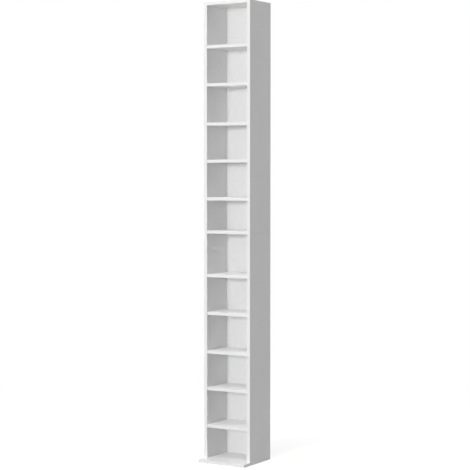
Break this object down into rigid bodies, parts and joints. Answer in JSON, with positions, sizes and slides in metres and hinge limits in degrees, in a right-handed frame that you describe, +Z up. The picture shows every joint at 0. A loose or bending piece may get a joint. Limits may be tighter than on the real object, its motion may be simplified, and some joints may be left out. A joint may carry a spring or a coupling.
{
  "type": "cd dvd storage tower",
  "caption": "Tall narrow open-fronted storage tower with shallow stacked compartments for disc cases, closed back, and a base plate that projects at the front.",
  "frame": {"origin": "on the floor, under the middle of the base plate", "axes": "+Z up, along the tower; the open front faces -Y and the closed back +Y; +X to the right seen from the front"},
  "size_m": [0.21, 0.2, 1.8],
  "materials": {
    "white_board": "white melamine-faced chipboard, satin, edges banded to match",
    "white_fibreboard": "white lacquered thin fibreboard, smooth and satin",
    "zinc_steel": "bright zinc-plated steel",
    "beech": "plain beech dowel, turned"
  },
  "bodies": {
    "carcass": {"base_plate": "white_board", "lower_side_left": "white_board", "lower_side_right": "white_board", "upper_side_left": "white_board", "upper_side_right": "white_board", "top_panel": "white_board", "middle_shelf": "white_board", "lower_back": "white_fibreboard", "upper_back": "white_fibreboard", "upper_shelf_1_wire_left": "zinc_steel", "upper_shelf_1_wire_right": "zinc_steel", "upper_shelf_2_wire_left": "zinc_steel", "upper_shelf_2_wire_right": "zinc_steel", "upper_shelf_3_wire_left": "zinc_steel", "upper_shelf_3_wire_right": "zinc_steel", "upper_shelf_4_wire_left": "zinc_steel", "upper_shelf_4_wire_right": "zinc_steel", "upper_shelf_5_wire_left": "zinc_steel", "upper_shelf_5_wire_right": "zinc_steel", "lower_shelf_1_wire_left": "zinc_steel", "lower_shelf_1_wire_right": "zinc_steel", "lower_shelf_2_wire_left": "zinc_steel", "lower_shelf_2_wire_right": "zinc_steel", "lower_shelf_3_wire_left": "zinc_steel", "lower_shelf_3_wire_right": "zinc_steel", "lower_shelf_4_wire_left": "zinc_steel", "lower_shelf_4_wire_right": "zinc_steel", "lower_shelf_5_wire_left": "zinc_steel", "lower_shelf_5_wire_right": "zinc_steel", "middle_support_front_left": "zinc_steel", "middle_support_rear_left": "zinc_steel", "middle_support_front_right": "zinc_steel", "middle_support_rear_right": "zinc_steel", "seam_dowel_front_left": "beech", "seam_dowel_rear_left": "beech", "seam_dowel_front_right": "beech", "seam_dowel_rear_right": "beech", "base_screw_front_left": "zinc_steel", "base_screw_rear_left": "zinc_steel", "base_screw_front_right": "zinc_steel", "base_screw_rear_right": "zinc_steel", "top_screw_front_left": "zinc_steel", "top_screw_rear_left": "zinc_steel", "top_screw_front_right": "zinc_steel", "top_screw_rear_right": "zinc_steel"},
    "upper_shelf_1": {"upper_shelf_1": "white_board"},
    "upper_shelf_2": {"upper_shelf_2": "white_board"},
    "upper_shelf_3": {"upper_shelf_3": "white_board"},
    "upper_shelf_4": {"upper_shelf_4": "white_board"},
    "upper_shelf_5": {"upper_shelf_5": "white_board"},
    "lower_shelf_1": {"lower_shelf_1": "white_board"},
    "lower_shelf_2": {"lower_shelf_2": "white_board"},
    "lower_shelf_3": {"lower_shelf_3": "white_board"},
    "lower_shelf_4": {"lower_shelf_4": "white_board"},
    "lower_shelf_5": {"lower_shelf_5": "white_board"}
  },
  "joints": [
    {"name": "upper_shelf_1_slide", "type": "slide", "parent": "carcass", "child": "upper_shelf_1", "axis": [0, -1, 0], "range_m": [0, 0.15]},
    {"name": "upper_shelf_2_slide", "type": "slide", "parent": "carcass", "child": "upper_shelf_2", "axis": [0, -1, 0], "range_m": [0, 0.15]},
    {"name": "upper_shelf_3_slide", "type": "slide", "parent": "carcass", "child": "upper_shelf_3", "axis": [0, -1, 0], "range_m": [0, 0.15]},
    {"name": "upper_shelf_4_slide", "type": "slide", "parent": "carcass", "child": "upper_shelf_4", "axis": [0, -1, 0], "range_m": [0, 0.15]},
    {"name": "upper_shelf_5_slide", "type": "slide", "parent": "carcass", "child": "upper_shelf_5", "axis": [0, -1, 0], "range_m": [0, 0.15]},
    {"name": "lower_shelf_1_slide", "type": "slide", "parent": "carcass", "child": "lower_shelf_1", "axis": [0, -1, 0], "range_m": [0, 0.15]},
    {"name": "lower_shelf_2_slide", "type": "slide", "parent": "carcass", "child": "lower_shelf_2", "axis": [0, -1, 0], "range_m": [0, 0.15]},
    {"name": "lower_shelf_3_slide", "type": "slide", "parent": "carcass", "child": "lower_shelf_3", "axis": [0, -1, 0], "range_m": [0, 0.15]},
    {"name": "lower_shelf_4_slide", "type": "slide", "parent": "carcass", "child": "lower_shelf_4", "axis": [0, -1, 0], "range_m": [0, 0.15]},
    {"name": "lower_shelf_5_slide", "type": "slide", "parent": "carcass", "child": "lower_shelf_5", "axis": [0, -1, 0], "range_m": [0, 0.15]}
  ]
}
